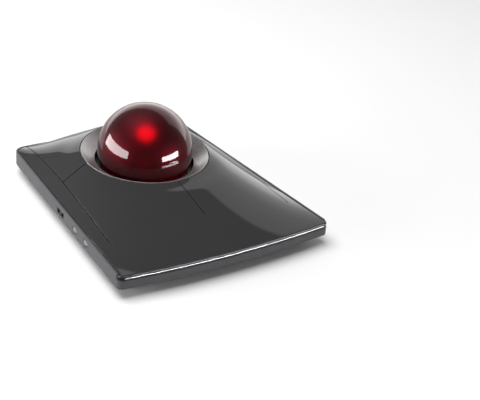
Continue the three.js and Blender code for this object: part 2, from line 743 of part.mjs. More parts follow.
function makeModeSwitch() {
  const x = wallX(MODE_Y);
  const across = (half) => [MODE_Y - half, MODE_Y + half];
  const knob = boxBetween(
    x + KNOB.front, x + KNOB.deep, ...across(KNOB.halfLong),
    CONTROL_Z - KNOB.halfTall, CONTROL_Z + KNOB.halfTall,
  );
  put('mode_slider', knob, 'switchBody');
  const well = boxBetween(
    x, x + MODE_WELL.back, ...across(MODE_WELL.halfLong),
    CONTROL_Z - MODE_WELL.halfTall, CONTROL_Z + MODE_WELL.halfTall,
  );
  const body = boxBetween(
    x + MODE_BODY.front, x + MODE_BODY.back, ...across(MODE_BODY.halfLong), SIDE_FLOOR, MODE_BODY.top);
  put('mode_switch_body', body.subtract(well), 'steel');
}

function makeWallButton(name, y) {
  const x = wallX(y);
  put(`${name}_button`, wallOval(y, KEY, x + KEY_INSET, x + KEY.deep), 'button');
  const switchBox = boxBetween(
    x + TACT.front, x + TACT.back, y - TACT.halfLong, y + TACT.halfLong, SIDE_FLOOR, CONTROL_Z + TACT.rise);
  put(`${name}_tact_switch`, switchBox, 'steel');
}

function makeUnderside() {
  for (const [word, [x, y]] of Object.entries(FEET)) {
    put(`foot_${word}`, pad(x, y, FOOT.wide, FOOT.long, FOOT.corner, 0, FOOT_TOP), 'rubber');
  }
  const { y: labelY, wide, long, corner } = LABEL;
  const low = BASE_BOTTOM - LABEL_TUCK;
  put('rating_label', pad(0, labelY, wide, long, corner, low, BASE_BOTTOM + LABEL_RISE), 'label');
}

// A screw with a cross recess: its head spans head0 to head1, its shank runs on to tip.
function crossScrew(x, y, head0, head1, tip, headSide) {
  const face = headSide > 0 ? head1 : head0;
  const recess = [face - CROSS_DEEP, face + CROSS_DEEP];
  const shank0 = Math.min(tip, head1 - SHANK_OVERLAP);
  const shank1 = Math.max(tip, head0 + SHANK_OVERLAP);
  const long = CROSS_HALF;
  const slit = CROSS_SLIT;
  return rod(headSide > 0 ? STANDOFF_R : SCREW_HEAD_R, x, y, head0, head1)
    .add(rod(SCREW_SHANK_R, x, y, shank0, shank1, 10))
    .subtract(boxBetween(x - long, x + long, y - slit, y + slit, ...recess))
    .subtract(boxBetween(x - slit, x + slit, y - long, y + long, ...recess));
}

function makeCaseScrews() {
  for (const [word, [x, y]] of Object.entries(SCREWS)) {
    const screw = crossScrew(x, y, SCREW_HEAD_BOTTOM, SCREW_SEAT - CLEAR, SCREW_TIP, -1);
    put(`case_screw_${word}`, screw, 'steel');
  }
}

makeLowerCase();
makeTopCover();
makeButtons();
makeFrontStrip();
makeSocketRing();
makeSocketCup();
makeSensors();
makeBall();
makeBoards();
makeBattery();
makeInlet();
makeModeSwitch();
makeWallButton('pair', PAIR_Y);
makeWallButton('speed', SPEED_Y);
makeUnderside();
makeCaseScrews();

export default trackball;
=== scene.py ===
import json
import math
import bmesh
import bpy
import numpy as np
from mathutils import Matrix, Vector

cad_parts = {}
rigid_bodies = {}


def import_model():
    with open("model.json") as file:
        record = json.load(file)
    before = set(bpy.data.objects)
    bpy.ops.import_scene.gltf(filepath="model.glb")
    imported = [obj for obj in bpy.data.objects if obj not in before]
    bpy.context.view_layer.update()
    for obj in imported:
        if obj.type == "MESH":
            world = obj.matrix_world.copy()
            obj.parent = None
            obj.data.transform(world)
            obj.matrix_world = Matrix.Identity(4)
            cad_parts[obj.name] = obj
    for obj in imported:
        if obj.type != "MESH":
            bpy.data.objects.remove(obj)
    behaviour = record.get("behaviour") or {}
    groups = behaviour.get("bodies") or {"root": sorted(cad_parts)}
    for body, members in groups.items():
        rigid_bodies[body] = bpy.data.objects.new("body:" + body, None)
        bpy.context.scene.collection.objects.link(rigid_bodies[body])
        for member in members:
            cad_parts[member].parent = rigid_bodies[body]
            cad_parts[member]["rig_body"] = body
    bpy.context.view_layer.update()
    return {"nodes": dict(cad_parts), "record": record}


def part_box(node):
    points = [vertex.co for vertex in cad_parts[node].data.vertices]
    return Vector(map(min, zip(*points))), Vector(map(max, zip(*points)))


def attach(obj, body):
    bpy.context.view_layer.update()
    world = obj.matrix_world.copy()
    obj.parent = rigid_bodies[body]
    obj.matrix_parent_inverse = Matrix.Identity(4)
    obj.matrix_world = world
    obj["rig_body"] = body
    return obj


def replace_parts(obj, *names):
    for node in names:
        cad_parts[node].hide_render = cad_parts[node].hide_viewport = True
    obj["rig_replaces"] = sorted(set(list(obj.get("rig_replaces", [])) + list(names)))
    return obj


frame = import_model()
scene = bpy.context.scene
mm = 0.001  # shapes are worked out in millimetres and written in metres
tiny = 1e-6

# Camera

viewpoint = {
    "turn": -36.33,  # degrees round the object, to the user's left
    "height": 28.56,  # degrees above the desk
    "distance": 679.4,
    "aim": (49.03, -11.64, 0.0),
    "roll": 5.885,  # degrees about the line of sight
    "lens": 85.99,
    "sensor": 36.0,
}


# The camera stands at aim + distance back, with back = (sin turn cos height,
# -cos turn cos height, sin height), and looks the other way, rolled about that line.
def makeCamera():
    turn, height = math.radians(viewpoint["turn"]), math.radians(viewpoint["height"])
    back = Vector((
        math.sin(turn) * math.cos(height),
        -math.cos(turn) * math.cos(height),
        math.sin(height),
    ))
    level = Vector((0, 0, 1)).cross(back).normalized()
    upright = back.cross(level)
    roll = math.radians(viewpoint["roll"])
    right = level * math.cos(roll) + upright * math.sin(roll)
    up = back.cross(right)
    place = Vector(viewpoint["aim"]) + back * viewpoint["distance"]
    data = bpy.data.cameras.new("deskCamera")
    data.lens = viewpoint["lens"]
    data.sensor_width = viewpoint["sensor"]
    camera = bpy.data.objects.new("deskCamera", data)
    scene.collection.objects.link(camera)
    axes = Matrix((right, up, back)).transposed().to_4x4()
    camera.matrix_world = Matrix.Translation(place * mm) @ axes
    scene.camera = camera


makeCamera()
print("camera placed")

# Measures of the housing

# The low and high corner of a node's box, in millimetres.
def span(node):
    low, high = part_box(node)
    return np.array(low) / mm, np.array(high) / mm


caseLow, caseHigh = span("lower_case")
ballLow, ballHigh = span("ball")
lowerLow, lowerHigh = span("button_lower_right")
upperLow = span("button_upper_right")[0]
ballCentre = (ballLow + ballHigh) / 2
ballRadius = (ballHigh[2] - ballLow[2]) / 2

housing = {
    "rearHalf": 56.0,  # half width at the rear, the front's comes from the case
    "frontBow": 3.4,  # how far the front edge bows outwards in its middle
    "frontCorner": 4.0,
    "rearCorner": 8.0,
    "leastCorner": 1.0,  # a corner that is drawn in gets no smaller than this
    "rim": 1.4,  # the cover sits this far inside the case's edge
    "edge": 13.8,  # height of the case's upper edge
    "rise": 20.4,  # height of the dome over that edge
    "sidePower": 2.4,  # higher makes the dome flatter on top and steeper at its sides
    "frontSoft": 0.12,  # how gently the front slope starts
    "rearRound": 0.64,  # share of the rear's fall that is a plain parabola
    "rearPower": 6,  # power of the rest of that fall
    "ringBlend": 14.0,  # width over which the dome levels out to the ring
    "ringDrop": 1.1,  # the ring's outer edge under the ball's centre
    "ringTilt": 1.8,  # degrees
    "ringRadius": 37.0,
    "rail": 8.0,  # width of the side rails
    "seam": 0.45,
    "thick": 2.2,  # thickness of the cover and the buttons
}
frontHalf = caseHigh[0]
frontY, rearY = caseLow[1] + housing["frontBow"], caseHigh[1]
tiltSlope = math.tan(math.radians(housing["ringTilt"]))
print("housing measured")


# Half width of the plan: a straight taper from the front's to the rear's.
def halfWidth(y):
    along = np.clip((y - frontY) / (rearY - frontY), 0, 1)
    return frontHalf + (housing["rearHalf"] - frontHalf) * along


# How far the front edge stands out at x: bow (1 - (x / straight)^2), none in the corners.
def bowAt(x):
    straight = frontHalf - housing["frontCorner"]
    return housing["frontBow"] * np.maximum(1 - (x / straight) ** 2, 0)


# Half width of the plan drawn in by an inset. In a corner it follows the curve
# s^2 A + 2 s (1 - s) C + (1 - s)^2 B from the side point A past the vertex C to the end point B.
def outlineHalf(y, inset):
    half = halfWidth(y) - inset
    slope = (housing["rearHalf"] - frontHalf) / (rearY - frontY)
    for endY, corner, way in (
        (frontY, housing["frontCorner"], 1),
        (rearY - inset, housing["rearCorner"], -1),
    ):
        radius = np.maximum(corner - inset, housing["leastCorner"])
        vertex = halfWidth(endY) - inset
        step = radius / math.hypot(slope, 1)
        share = np.clip((y - endY) / (way * step), 0, 1)
        s = np.sqrt(share)
        sideX = vertex + way * step * slope
        curve = s * s * sideX + 2 * s * (1 - s) * vertex + (1 - s) ** 2 * (vertex - radius)
        half = np.where(share < 1, curve, half)
    return half


# Smooth step t^3 (6 t^2 - 15 t + 10) of the share held between 0 and 1.
def easeStep(share):
    t = np.clip(share, 0, 1)
    return t * t * t * (t * (6 * t - 15) + 10)


# Height of the dome: edge + rise (1 - p^side) (1 - fall), p being the share of the half width.
# With q as the share of the way from the ball's centre, the fall is (sqrt(q^2 + soft^2) - soft),
# scaled to end at 1, to the front, and round q^2 + (1 - round) q^power to the rear.
def domeZ(x, y):
    soft, middle = housing["frontSoft"], ballCentre[1]
    p = np.minimum(np.abs(x) / (halfWidth(y) - housing["rim"]), 1)
    reach = np.where(y < middle, middle - frontY + bowAt(x), rearY - housing["rim"] - middle)
    q = np.minimum(np.abs(y - middle) / reach, 1)
    ahead = (np.hypot(q, soft) - soft) / (math.hypot(1, soft) - soft)
    rounded = housing["rearRound"]
    behind = rounded * q ** 2 + (1 - rounded) * q ** housing["rearPower"]
    fall = np.where(y < middle, ahead, behind)
    return housing["edge"] + housing["rise"] * (1 - p ** housing["sidePower"]) * (1 - fall)


# Height of the glossy top: the dome plus ease(near) (plane - dome at the rim), where the rim is
# the ring's circle in the same direction and the plane is the ring's tilted one.
def topZ(x, y):
    radius, blend, middle = housing["ringRadius"], housing["ringBlend"], ballCentre[1]
    away = np.maximum(np.hypot(x, y - middle), tiny)
    rimX, rimY = x / away * radius, middle + (y - middle) / away * radius
    plane = ballCentre[2] - housing["ringDrop"] + (rimY - middle) * tiltSlope
    near = easeStep((radius + blend - away) / blend)
    return domeZ(x, y) + (plane - domeZ(rimX, rimY)) * near


# Drop of a rounded edge at a distance from it: r - sqrt(r^2 - (r - d)^2), a quarter circle.
def edgeDrop(distance, radius):
    short = np.clip(radius - distance, 0, radius)
    return radius - np.sqrt(np.maximum(radius * radius - short * short, 0))


# Distance from each point to a line through corners: for each segment the point's share along
# it is held between 0 and 1, and the shortest of the distances to those places counts.
def lineDistance(x, y, line):
    start, end = line[:-1], line[1:]
    run = end - start
    dx = x.reshape(-1, 1) - start[:, 0]
    dy = y.reshape(-1, 1) - start[:, 1]
    along = (dx * run[:, 0] + dy * run[:, 1]) / (run ** 2).sum(1)
    along = np.clip(along, 0, 1)
    away = np.hypot(dx - along * run[:, 0], dy - along * run[:, 1])
    return away.min(1).reshape(x.shape)


# Mesh helpers

# Points and faces made a smooth-shaded piece, with edges over an angle in degrees kept sharp.
def finishMesh(name, points, faces, material, sharp, worn=None):
    mesh = bpy.data.meshes.new(name)
    mesh.from_pydata((np.asarray(points) * mm).tolist(), [], np.asarray(faces).tolist())
    mesh.update()
    if worn is not None:
        mesh.attributes.new("worn", "FLOAT", "POINT").data.foreach_set("value", worn.ravel())
    mesh.materials.append(material)
    smoothMesh(mesh, sharp)
    piece = bpy.data.objects.new(name, mesh)
    scene.collection.objects.link(piece)
    return piece


# Smooth shading that breaks at edges over an angle in degrees.
def smoothMesh(mesh, sharp):
    mesh.polygons.foreach_set("use_smooth", np.ones(len(mesh.polygons), dtype=bool))
    mesh.set_sharp_from_angle(angle=math.radians(sharp))


# Puts a piece on the body it moves with, and in place of the nodes it stands for.
def settle(piece, body, slotName, *nodes):
    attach(piece, body)
    if nodes:
        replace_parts(piece, *nodes)
    return piece


# Quads between neighbours of a grid that is numbered row by row.
def gridQuads(rows, columns):
    index = np.arange(rows * columns).reshape(rows, columns)
    return np.stack([index[:-1, :-1], index[:-1, 1:], index[1:, 1:], index[1:, :-1]], -1)


# A top grid and an under grid made one closed body: quads between neighbours, the same facing
# down below, and a wall along every edge that only one quad uses.
def closedPanel(top, under, worn, keep=None):
    rows, columns = top.shape[:2]
    quads = gridQuads(rows, columns)
    quads = quads.reshape(-1, 4) if keep is None else quads[keep]
    count = rows * columns
    starts, ends = quads.ravel().astype(np.int64), np.roll(quads, -1, 1).ravel().astype(np.int64)
    alone = ~np.isin(starts * count + ends, ends * count + starts)
    a, b = starts[alone], ends[alone]
    walls = np.stack([a + count, b + count, b, a], 1)
    faces = np.concatenate([quads, quads[:, ::-1] + count, walls])
    points = np.concatenate([top.reshape(-1, 3), under.reshape(-1, 3)])
    wear = np.concatenate([worn.ravel(), worn.ravel()])
    used, compact = np.unique(faces, return_inverse=True)
    return points[used], compact.reshape(-1, 4), wear[used]


# A profile of (r, z) points turned once about Z: (r cos a, r sin a, z) at even angles a. A closed
# profile also joins its last point to its first.
def turnedMesh(profile, count, closed):
    angles = np.linspace(0, 2 * np.pi, count, endpoint=False)
    radius, height = profile[:, 0], profile[:, 1]
    points = np.stack([
        np.outer(np.cos(angles), radius),
        np.outer(np.sin(angles), radius),
        np.tile(height, (count, 1)),
    ], -1)
    index = np.arange(count * len(profile)).reshape(count, -1)
    if closed:
        index = np.concatenate([index, index[:, :1]], 1)
    following = np.roll(index, -1, 0)
    faces = np.stack([index[:, :-1], following[:, :-1], following[:, 1:], index[:, 1:]], -1)
    return points.reshape(-1, 3), faces.reshape(-1, 4)


mergeReach = 1e-7  # points closer than this are made one, in metres


# Merges points that coincide, turns all faces outwards and marks the sharp edges anew.
def mergeFaces(piece, sharp):
    work = bmesh.new()
    work.from_mesh(piece.data)
    bmesh.ops.remove_doubles(work, verts=work.verts, dist=mergeReach)
    bmesh.ops.dissolve_degenerate(work, edges=work.edges, dist=mergeReach)
    bmesh.ops.recalc_face_normals(work, faces=work.faces)
    work.to_mesh(piece.data)
    work.free()
    piece.data.set_sharp_from_angle(angle=math.radians(sharp))


# Moves points made round the origin onto the ball's centre, leaned by the ring's tilt about X.
def ontoSocket(points):
    lean = math.radians(housing["ringTilt"])
    x, y, z = points[:, 0], points[:, 1], points[:, 2]
    turned = np.stack([
        x,
        y * math.cos(lean) - z * math.sin(lean),
        y * math.sin(lean) + z * math.cos(lean),
    ], 1)
    return turned + ballCentre


# Shared shader groups

factorIn, toneIn, otherToneIn, toneOut = 0, 6, 7, 2  # places of a colour mix's sockets
valueIn, otherValueIn, valueOut = 2, 3, 0  # places of a value mix's sockets


# An empty node group with named sockets: (label, kind, value) going in, (label, kind) coming out.
def newGroup(name, inputs, outputs):
    group = bpy.data.node_groups.new(name, "ShaderNodeTree")
    for label, kind, value in inputs:
        socket = group.interface.new_socket(label, in_out="INPUT", socket_type=kind)
        socket.default_value = value
    for label, kind in outputs:
        group.interface.new_socket(label, in_out="OUTPUT", socket_type=kind)
    start = group.nodes.new("NodeGroupInput")
    end = group.nodes.new("NodeGroupOutput")
    return group, start, end


def setInputs(node, values):
    for key, value in values.items():
        node.inputs[key].default_value = value


# A node with its settings and then the values of its sockets.
def addNode(tree, kind, values=None, **settings):
    made = tree.nodes.new(kind)
    for key, value in settings.items():
        setattr(made, key, value)
    setInputs(made, values or {})
    return made


def placeGroup(tree, group, values):
    made = tree.nodes.new("ShaderNodeGroup")
    made.node_tree = group
    setInputs(made, values)
    return made


# A colour mix between two tones.
def addTones(tree, first, second):
    tones = {toneIn: (*first, 1), otherToneIn: (*second, 1)}
    return addNode(tree, "ShaderNodeMix", tones, data_type="RGBA")


grainLook = {"detail": 3.0, "roughness": 0.6, "reach": 0.0001}  # reach of the bump in metres


# Fine moulded or brushed grain: a bump from noise on object coordinates that may be stretched.
def makeGrainGroup():
    group, start, end = newGroup(
        "fineGrain",
        [("Scale", "NodeSocketFloat", 900.0), ("Depth", "NodeSocketFloat", 0.1),
         ("Stretch", "NodeSocketVector", (1.0, 1.0, 1.0))],
        [("Normal", "NodeSocketVector")],
    )
    place = addNode(group, "ShaderNodeTexCoord")
    stretch = addNode(group, "ShaderNodeVectorMath", operation="MULTIPLY")
    noise = addNode(group, "ShaderNodeTexNoise", {
        "Detail": grainLook["detail"], "Roughness": grainLook["roughness"],
    })
    bump = addNode(group, "ShaderNodeBump", {"Distance": grainLook["reach"]})
    link = group.links.new
    link(place.outputs["Object"], stretch.inputs[0])
    link(start.outputs["Stretch"], stretch.inputs[1])
    link(stretch.outputs[0], noise.inputs["Vector"])
    link(start.outputs["Scale"], noise.inputs["Scale"])
    link(start.outputs["Depth"], bump.inputs["Strength"])
    link(noise.outputs["Fac"], bump.inputs["Height"])
    link(bump.outputs["Normal"], end.inputs["Normal"])
    return group


agedLook = {
    "broad": 38.0,  # scale of the drift in tone
    "fine": 420.0,  # scale of the patches in the wear
    "shade": (0.55, 0.55, 0.55, 1),  # the darkest the drift gets
}


# Colour that drifts a little over the surface, colour (1 - drift noise (1 - shade)), and pales
# where the edges are worn, by worn noise wear.
def makeAgedGroup():
    group, start, end = newGroup(
        "agedColour",
        [("Colour", "NodeSocketColor", (0.1, 0.1, 0.1, 1)),
         ("Worn Colour", "NodeSocketColor", (0.3, 0.3, 0.3, 1)),
         ("Wear", "NodeSocketFloat", 0.3), ("Drift", "NodeSocketFloat", 0.2)],
        [("Colour", "NodeSocketColor")],
    )
    place = addNode(group, "ShaderNodeTexCoord")
    broad = addNode(group, "ShaderNodeTexNoise", {"Scale": agedLook["broad"], "Detail": 3.0})
    fine = addNode(group, "ShaderNodeTexNoise", {"Scale": agedLook["fine"], "Detail": 4.0})
    sway = addNode(group, "ShaderNodeMapRange", {"To Min": 0.0, "To Max": 1.0})
    darker = addNode(group, "ShaderNodeMix", data_type="RGBA", blend_type="MULTIPLY")
    darker.inputs[otherToneIn].default_value = agedLook["shade"]
    amount = addNode(group, "ShaderNodeMath", operation="MULTIPLY")
    edge = addNode(group, "ShaderNodeAttribute", attribute_name="worn")
    patchy = addNode(group, "ShaderNodeMath", operation="MULTIPLY")
    mask = addNode(group, "ShaderNodeMath", operation="MULTIPLY", use_clamp=True)
    pale = addNode(group, "ShaderNodeMix", data_type="RGBA")
    link = group.links.new
    link(place.outputs["Object"], broad.inputs["Vector"])
    link(place.outputs["Object"], fine.inputs["Vector"])
    link(broad.outputs["Fac"], sway.inputs["Value"])
    link(sway.outputs["Result"], amount.inputs[0])
    link(start.outputs["Drift"], amount.inputs[1])
    link(amount.outputs[0], darker.inputs[factorIn])
    link(start.outputs["Colour"], darker.inputs[toneIn])
    link(edge.outputs["Fac"], patchy.inputs[0])
    link(fine.outputs["Fac"], patchy.inputs[1])
    link(patchy.outputs[0], mask.inputs[0])
    link(start.outputs["Wear"], mask.inputs[1])
    link(mask.outputs[0], pale.inputs[factorIn])
    link(darker.outputs[toneOut], pale.inputs[toneIn])
    link(start.outputs["Worn Colour"], pale.inputs[otherToneIn])
    link(pale.outputs[toneOut], end.inputs["Colour"])
    return group


smudgeLook = {
    "detail": 5.0,
    "roughness": 0.65,
    "bend": 0.4,
    "low": 0.35,  # noise under this is clean
    "high": 0.8,  # noise over this is dull
}


# Roughness clean + (dull - clean) share, the share being the noise's place between low and
# high, patchy like the marks that fingers and dust leave.
def makeSmudgeGroup():
    group, start, end = newGroup(
        "smudges",
        [("Clean", "NodeSocketFloat", 0.05), ("Dull", "NodeSocketFloat", 0.2),
         ("Scale", "NodeSocketFloat", 60.0)],
        [("Roughness", "NodeSocketFloat")],
    )
    place = addNode(group, "ShaderNodeTexCoord")
    noise = addNode(group, "ShaderNodeTexNoise", {
        "Detail": smudgeLook["detail"], "Roughness": smudgeLook["roughness"],
        "Distortion": smudgeLook["bend"],
    })
    spread = addNode(group, "ShaderNodeMapRange", {
        "From Min": smudgeLook["low"], "From Max": smudgeLook["high"],
    })
    link = group.links.new
    link(place.outputs["Object"], noise.inputs["Vector"])
    link(start.outputs["Scale"], noise.inputs["Scale"])
    link(noise.outputs["Fac"], spread.inputs["Value"])
    link(start.outputs["Clean"], spread.inputs["To Min"])
    link(start.outputs["Dull"], spread.inputs["To Max"])
    link(spread.outputs["Result"], end.inputs["Roughness"])
    return group


grainGroup = makeGrainGroup()
agedGroup = makeAgedGroup()
smudgeGroup = makeSmudgeGroup()
print("shader groups made")

# Materials

# Each finish: colour, worn colour, how much wear and drift, clean and dull roughness, scale of
# the smudged patches, scale and depth of the grain, and where needed its stretch and metallic.
finishes = {
    "gloss": dict(colour=(0.033, 0.033, 0.034), worn=(0.07, 0.07, 0.075), wear=0.2, drift=0.12,
                  clean=0.015, dull=0.045, patches=45, grain=2600, depth=0.008),
    "case": dict(colour=(0.072, 0.072, 0.076), worn=(0.20, 0.20, 0.21), wear=0.9, drift=0.25,
                 clean=0.34, dull=0.46, patches=70, grain=3800, depth=0.22),
    "strip": dict(colour=(0.82, 0.82, 0.84), worn=(0.95, 0.95, 0.95), wear=0.3, drift=0.12,
                  clean=0.12, dull=0.24, patches=90, grain=1200, depth=0.04, metallic=1.0,
                  stretch=(0.05, 1.0, 1.0)),
    "cup": dict(colour=(0.024, 0.024, 0.026), worn=(0.06, 0.06, 0.06), wear=0.3, drift=0.3,
                clean=0.3, dull=0.5, patches=80, grain=2400, depth=0.15),
    "ceramic": dict(colour=(0.80, 0.78, 0.73), worn=(0.9, 0.9, 0.9), wear=0.1, drift=0.1,
                    clean=0.08, dull=0.2, patches=300, grain=4000, depth=0.05),
    "steel": dict(colour=(0.52, 0.52, 0.53), worn=(0.7, 0.7, 0.7), wear=0.4, drift=0.25,
                  clean=0.22, dull=0.42, patches=160, grain=3000, depth=0.12, metallic=1.0),
    "lens": dict(colour=(0.52, 0.57, 0.60), worn=(0.7, 0.7, 0.7), wear=0.1, drift=0.1,
                 clean=0.03, dull=0.1, patches=200, grain=3000, depth=0.02),
    "switch_plastic": dict(colour=(0.020, 0.021, 0.023), worn=(0.07, 0.07, 0.07), wear=0.4,
                           drift=0.3, clean=0.38, dull=0.55, patches=120, grain=5200, depth=0.25),
    "plunger": dict(colour=(0.68, 0.66, 0.60), worn=(0.8, 0.8, 0.76), wear=0.3, drift=0.15,
                    clean=0.3, dull=0.5, patches=200, grain=4000, depth=0.12),
    "slider": dict(colour=(0.022, 0.022, 0.024), worn=(0.09, 0.09, 0.09), wear=0.6, drift=0.25,
                   clean=0.35, dull=0.5, patches=200, grain=5200, depth=0.25),
    "side_button": dict(colour=(0.20, 0.205, 0.21), worn=(0.6, 0.6, 0.6), wear=0.4, drift=0.15,
                        clean=0.26, dull=0.4, patches=220, grain=4200, depth=0.12),
    "rubber": dict(colour=(0.014, 0.014, 0.015), worn=(0.05, 0.05, 0.05), wear=0.3, drift=0.35,
                   clean=0.62, dull=0.85, patches=120, grain=5600, depth=0.4),
}


def startMaterial(name):
    material = bpy.data.materials.new(name)
    material.use_nodes = True
    return material, material.node_tree, material.node_tree.nodes["Principled BSDF"]


# Aged colour, smudged roughness and a fine grain, with the finish's own values.
def makeFinish(name):
    look = finishes[name]
    material, tree, shader = startMaterial(name + "Finish")
    aged = placeGroup(tree, agedGroup, {
        "Colour": (*look["colour"], 1), "Worn Colour": (*look["worn"], 1),
        "Wear": look["wear"], "Drift": look["drift"],
    })
    smudge = placeGroup(tree, smudgeGroup, {
        "Clean": look["clean"], "Dull": look["dull"], "Scale": look["patches"],
    })
    grain = placeGroup(tree, grainGroup, {
        "Scale": look["grain"], "Depth": look["depth"], "Stretch": look.get("stretch", (1, 1, 1)),
    })
    shader.inputs["Metallic"].default_value = look.get("metallic", 0.0)
    link = tree.links.new
    link(aged.outputs["Colour"], shader.inputs["Base Color"])
    link(smudge.outputs["Roughness"], shader.inputs["Roughness"])
    link(grain.outputs["Normal"], shader.inputs["Normal"])
    return material


materials = {name: makeFinish(name) for name in finishes}

ringLook = {
    "colour": (0.36, 0.35, 0.345),
    "dark": (0.27, 0.262, 0.26),
    "metallic": 0.6,
    "turnsPerMetre": 2600.0,  # fine lathe lines round the cone
    "clean": 0.24,
    "dull": 0.36,
    "patches": 55.0,
    "lineBump": 0.12,
    "lineDepth": 0.00005,  # metres
}


# Satin metal with fine lines round its axis: tone and bump are a noise of the distance to the
# ball's centre line, sqrt(x^2 + (y - centre)^2).
def makeRingMaterial():
    material, tree, shader = startMaterial("ringFinish")
    place = addNode(tree, "ShaderNodeTexCoord")
    centre = addNode(tree, "ShaderNodeMapping")
    centre.inputs["Location"].default_value = (0, -ballCentre[1] * mm, 0)
    flat = addNode(tree, "ShaderNodeVectorMath", operation="MULTIPLY")
    flat.inputs[1].default_value = (1, 1, 0)
    length = addNode(tree, "ShaderNodeVectorMath", operation="LENGTH")
    lines = addNode(tree, "ShaderNodeTexNoise", {"Scale": ringLook["turnsPerMetre"], "Detail": 3.0},
                    noise_dimensions="1D")
    tone = addTones(tree, ringLook["dark"], ringLook["colour"])
    bump = addNode(tree, "ShaderNodeBump", {
        "Strength": ringLook["lineBump"], "Distance": ringLook["lineDepth"],
    })
    smudge = placeGroup(tree, smudgeGroup, {
        "Clean": ringLook["clean"], "Dull": ringLook["dull"], "Scale": ringLook["patches"],
    })
    shader.inputs["Metallic"].default_value = ringLook["metallic"]
    link = tree.links.new
    link(place.outputs["Object"], centre.inputs["Vector"])
    link(centre.outputs["Vector"], flat.inputs[0])
    link(flat.outputs[0], length.inputs[0])
    link(length.outputs["Value"], lines.inputs["W"])
    link(lines.outputs["Fac"], tone.inputs[factorIn])
    link(lines.outputs["Fac"], bump.inputs["Height"])
    link(tone.outputs[toneOut], shader.inputs["Base Color"])
    link(smudge.outputs["Roughness"], shader.inputs["Roughness"])
    link(bump.outputs["Normal"], shader.inputs["Normal"])
    return material


resinLook = {
    "deep": (0.10, 0.0010, 0.0048),
    "light": (0.17, 0.0016, 0.0075),
    "swirlScale": 60.0,
    "sparkleScale": 2600.0,
    "tint": (1.0, 0.02, 0.08, 1),
    "metallic": 0.12,  # the fine flakes in the resin
    "bending": 1.5,  # index of refraction
    "skinRough": 0.01,
    "clean": 0.44,
    "dull": 0.54,
}


# Dark red resin full of fine flakes under a clear polished skin: light scatters into it, and the
# painted glow inside, an emissive heart, shows through softened.
def makeResinMaterial():
    material, tree, shader = startMaterial("resinFinish")
    place = addNode(tree, "ShaderNodeTexCoord")
    swirl = addNode(tree, "ShaderNodeTexNoise",
                    {"Scale": resinLook["swirlScale"], "Detail": 2.0, "Distortion": 1.2})
    tone = addTones(tree, resinLook["deep"], resinLook["light"])
    smudge = placeGroup(tree, smudgeGroup, {
        "Clean": resinLook["clean"], "Dull": resinLook["dull"],
        "Scale": resinLook["sparkleScale"],
    })
    setInputs(shader, {
        "Metallic": resinLook["metallic"], "Transmission Weight": 1.0,
        "IOR": resinLook["bending"], "Specular Tint": resinLook["tint"],
        "Coat Weight": 1.0, "Coat Roughness": resinLook["skinRough"],
    })
    link = tree.links.new
    link(place.outputs["Object"], swirl.inputs["Vector"])
    link(swirl.outputs["Fac"], tone.inputs[factorIn])
    link(tone.outputs[toneOut], shader.inputs["Base Color"])
    link(smudge.outputs["Roughness"], shader.inputs["Roughness"])
    return material


paintedGlowLook = {
    "colour": (1.0, 0.001, 0.034),
    "edge": (0.8, 0.001, 0.026),
    "body": (0.05, 0.001, 0.002, 1),
    "roughness": 0.6,
    "strength": 4.2,
    "speckScale": 900.0,
}


# Painted glow: an emissive heart that stands in for the light gathering inside the ball. It is no
# lamp.
def makePaintedGlowMaterial():
    material, tree, shader = startMaterial("glowFinish")
    place = addNode(tree, "ShaderNodeTexCoord")
    speck = addNode(tree, "ShaderNodeTexNoise", {"Scale": paintedGlowLook["speckScale"], "Detail": 2.0})
    tone = addTones(tree, paintedGlowLook["edge"], paintedGlowLook["colour"])
    # painted light: the heart emits red light of its own, though it is no lamp
    setInputs(shader, {
        "Base Color": paintedGlowLook["body"], "Roughness": paintedGlowLook["roughness"],
        "Emission Strength": paintedGlowLook["strength"],
    })
    link = tree.links.new
    link(place.outputs["Object"], speck.inputs["Vector"])
    link(speck.outputs["Fac"], tone.inputs[factorIn])
    link(tone.outputs[toneOut], shader.inputs["Emission Color"])
    return material


boardLook = {
    "mask": (0.012, 0.085, 0.035, 1),
    "trace": (0.03, 0.17, 0.07, 1),
    "copper": (0.55, 0.33, 0.12, 1),
    "traceScale": 110.0,
    "traceWidth": 0.06,
    "padScale": 260.0,
    "padSize": 0.16,
    "clean": 0.3,
    "dull": 0.5,
    "patches": 90.0,
}


# Circuit board: solder mask with paler traces from a brick pattern, and bright pads wherever the
# distance to the nearest of scattered points is under the pad's size.
def makeBoardMaterial():
    material, tree, shader = startMaterial("boardFinish")
    place = addNode(tree, "ShaderNodeTexCoord")
    traces = addNode(tree, "ShaderNodeTexBrick", {
        "Scale": boardLook["traceScale"], "Mortar Size": boardLook["traceWidth"],
        "Mortar Smooth": 0.1, "Color1": boardLook["mask"], "Color2": boardLook["mask"],
        "Mortar": boardLook["trace"],
    })
    pads = addNode(tree, "ShaderNodeTexVoronoi", {
        "Scale": boardLook["padScale"], "Randomness": 0.55,
    })
    spot = addNode(tree, "ShaderNodeMath", {1: boardLook["padSize"]}, operation="LESS_THAN")
    tone = addNode(tree, "ShaderNodeMix", data_type="RGBA")
    tone.inputs[otherToneIn].default_value = boardLook["copper"]
    smudge = placeGroup(tree, smudgeGroup, {
        "Clean": boardLook["clean"], "Dull": boardLook["dull"], "Scale": boardLook["patches"],
    })
    link = tree.links.new
    link(place.outputs["Object"], traces.inputs["Vector"])
    link(place.outputs["Object"], pads.inputs["Vector"])
    link(pads.outputs["Distance"], spot.inputs[0])
    link(spot.outputs[0], tone.inputs[factorIn])
    link(traces.outputs["Color"], tone.inputs[toneIn])
    link(tone.outputs[toneOut], shader.inputs["Base Color"])
    link(smudge.outputs["Roughness"], shader.inputs["Roughness"])
    return material


batteryLook = {
    "band": (0.30, 0.32, 0.34),
    "foil": (0.48, 0.50, 0.52),
    "metallic": 0.6,
    "roughness": 0.34,
    "bandScale": 6.0,
    "grain": 500.0,
    "depth": 0.3,
}


